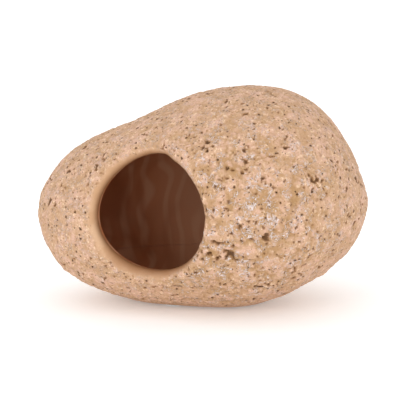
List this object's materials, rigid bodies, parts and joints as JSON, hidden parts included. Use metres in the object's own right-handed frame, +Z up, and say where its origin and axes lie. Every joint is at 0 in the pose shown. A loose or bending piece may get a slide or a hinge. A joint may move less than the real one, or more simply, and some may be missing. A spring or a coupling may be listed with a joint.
{
  "type": "aquarium cave stone",
  "caption": "Hollow stone-effect resin cave for an aquarium, with one round mouth low on its front, standing on small bumper pads.",
  "frame": {"origin": "middle of the bounding box, on the surface that the bumper pads stand on", "axes": "+X along the stone from its small end to its large end, -Y out of the front with the cave mouth, +Z up"},
  "size_m": [0.15, 0.11, 0.0987],
  "materials": {
    "stone_effect_resin": "matte, granular sandstone effect with small dark pits and pale veins, painted pink-beige",
    "cave_lining_resin": "satin, dark brown brushed-on resin with lighter swirls",
    "epoxy": "satin, brown filled epoxy",
    "bumper_pad": "satin, milky clear soft rubber"
  },
  "bodies": {
    "root": {"upper_shell": "stone_effect_resin", "base_shell": "stone_effect_resin", "upper_lining": "cave_lining_resin", "base_lining": "cave_lining_resin", "seam_bead": "epoxy", "bumper_pad_front_left": "bumper_pad", "bumper_pad_front_right": "bumper_pad", "bumper_pad_back_left": "bumper_pad", "bumper_pad_back_right": "bumper_pad"}
  },
  "joints": []
}
